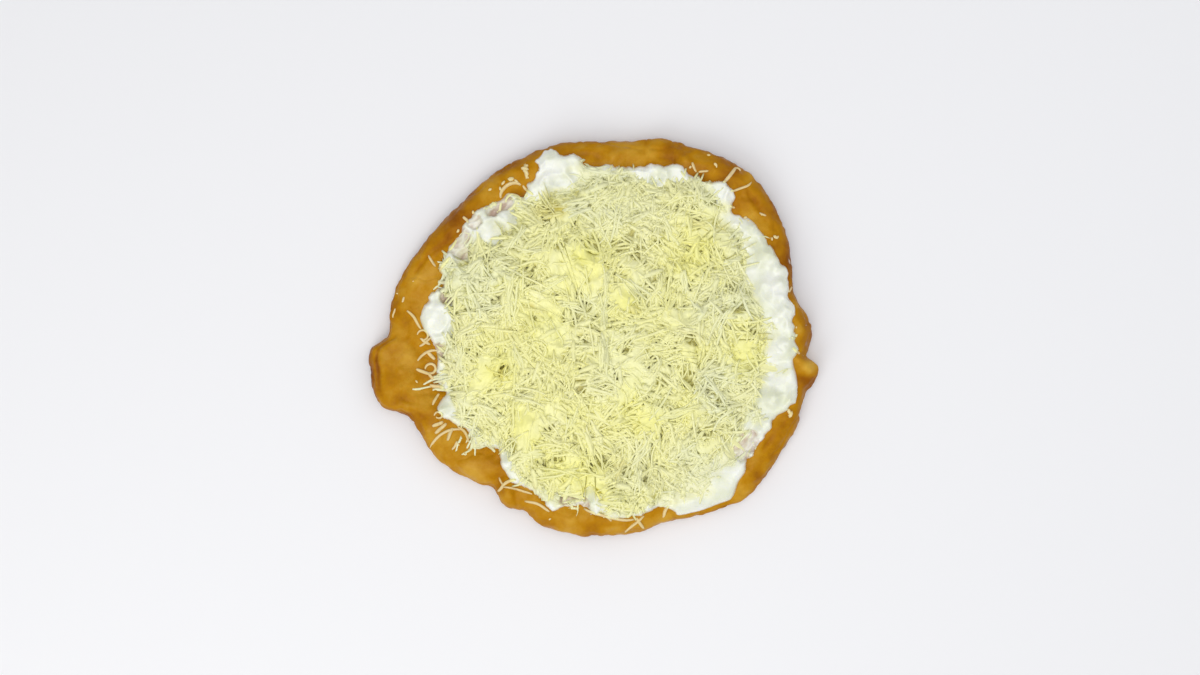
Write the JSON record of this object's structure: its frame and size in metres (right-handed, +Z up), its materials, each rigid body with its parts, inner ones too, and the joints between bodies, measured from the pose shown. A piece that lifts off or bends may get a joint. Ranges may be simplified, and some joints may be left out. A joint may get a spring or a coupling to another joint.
{
  "type": "langos flatbread",
  "caption": "Round deep-fried flatbread with a puffed, lobed rim, spread with sour cream and heaped with finely grated cheese; it lies flat, toppings up",
  "frame": {"origin": "On the surface that the bread rests on, under the middle of its bounding box", "axes": "+Z up through the toppings; +X along the bread's length, from the blunt tip to the small knob on the opposite side; +Y across it"},
  "size_m": [0.2268, 0.1996, 0.0297],
  "materials": {
    "dough": "golden brown fried crust with a faint oily sheen",
    "sour_cream": "wet, glossy cream white",
    "grated_cheese": "matt pale yellow shreds"
  },
  "bodies": {
    "root": {"dough": "dough", "sour_cream": "sour_cream", "grated_cheese": "grated_cheese"}
  },
  "joints": []
}
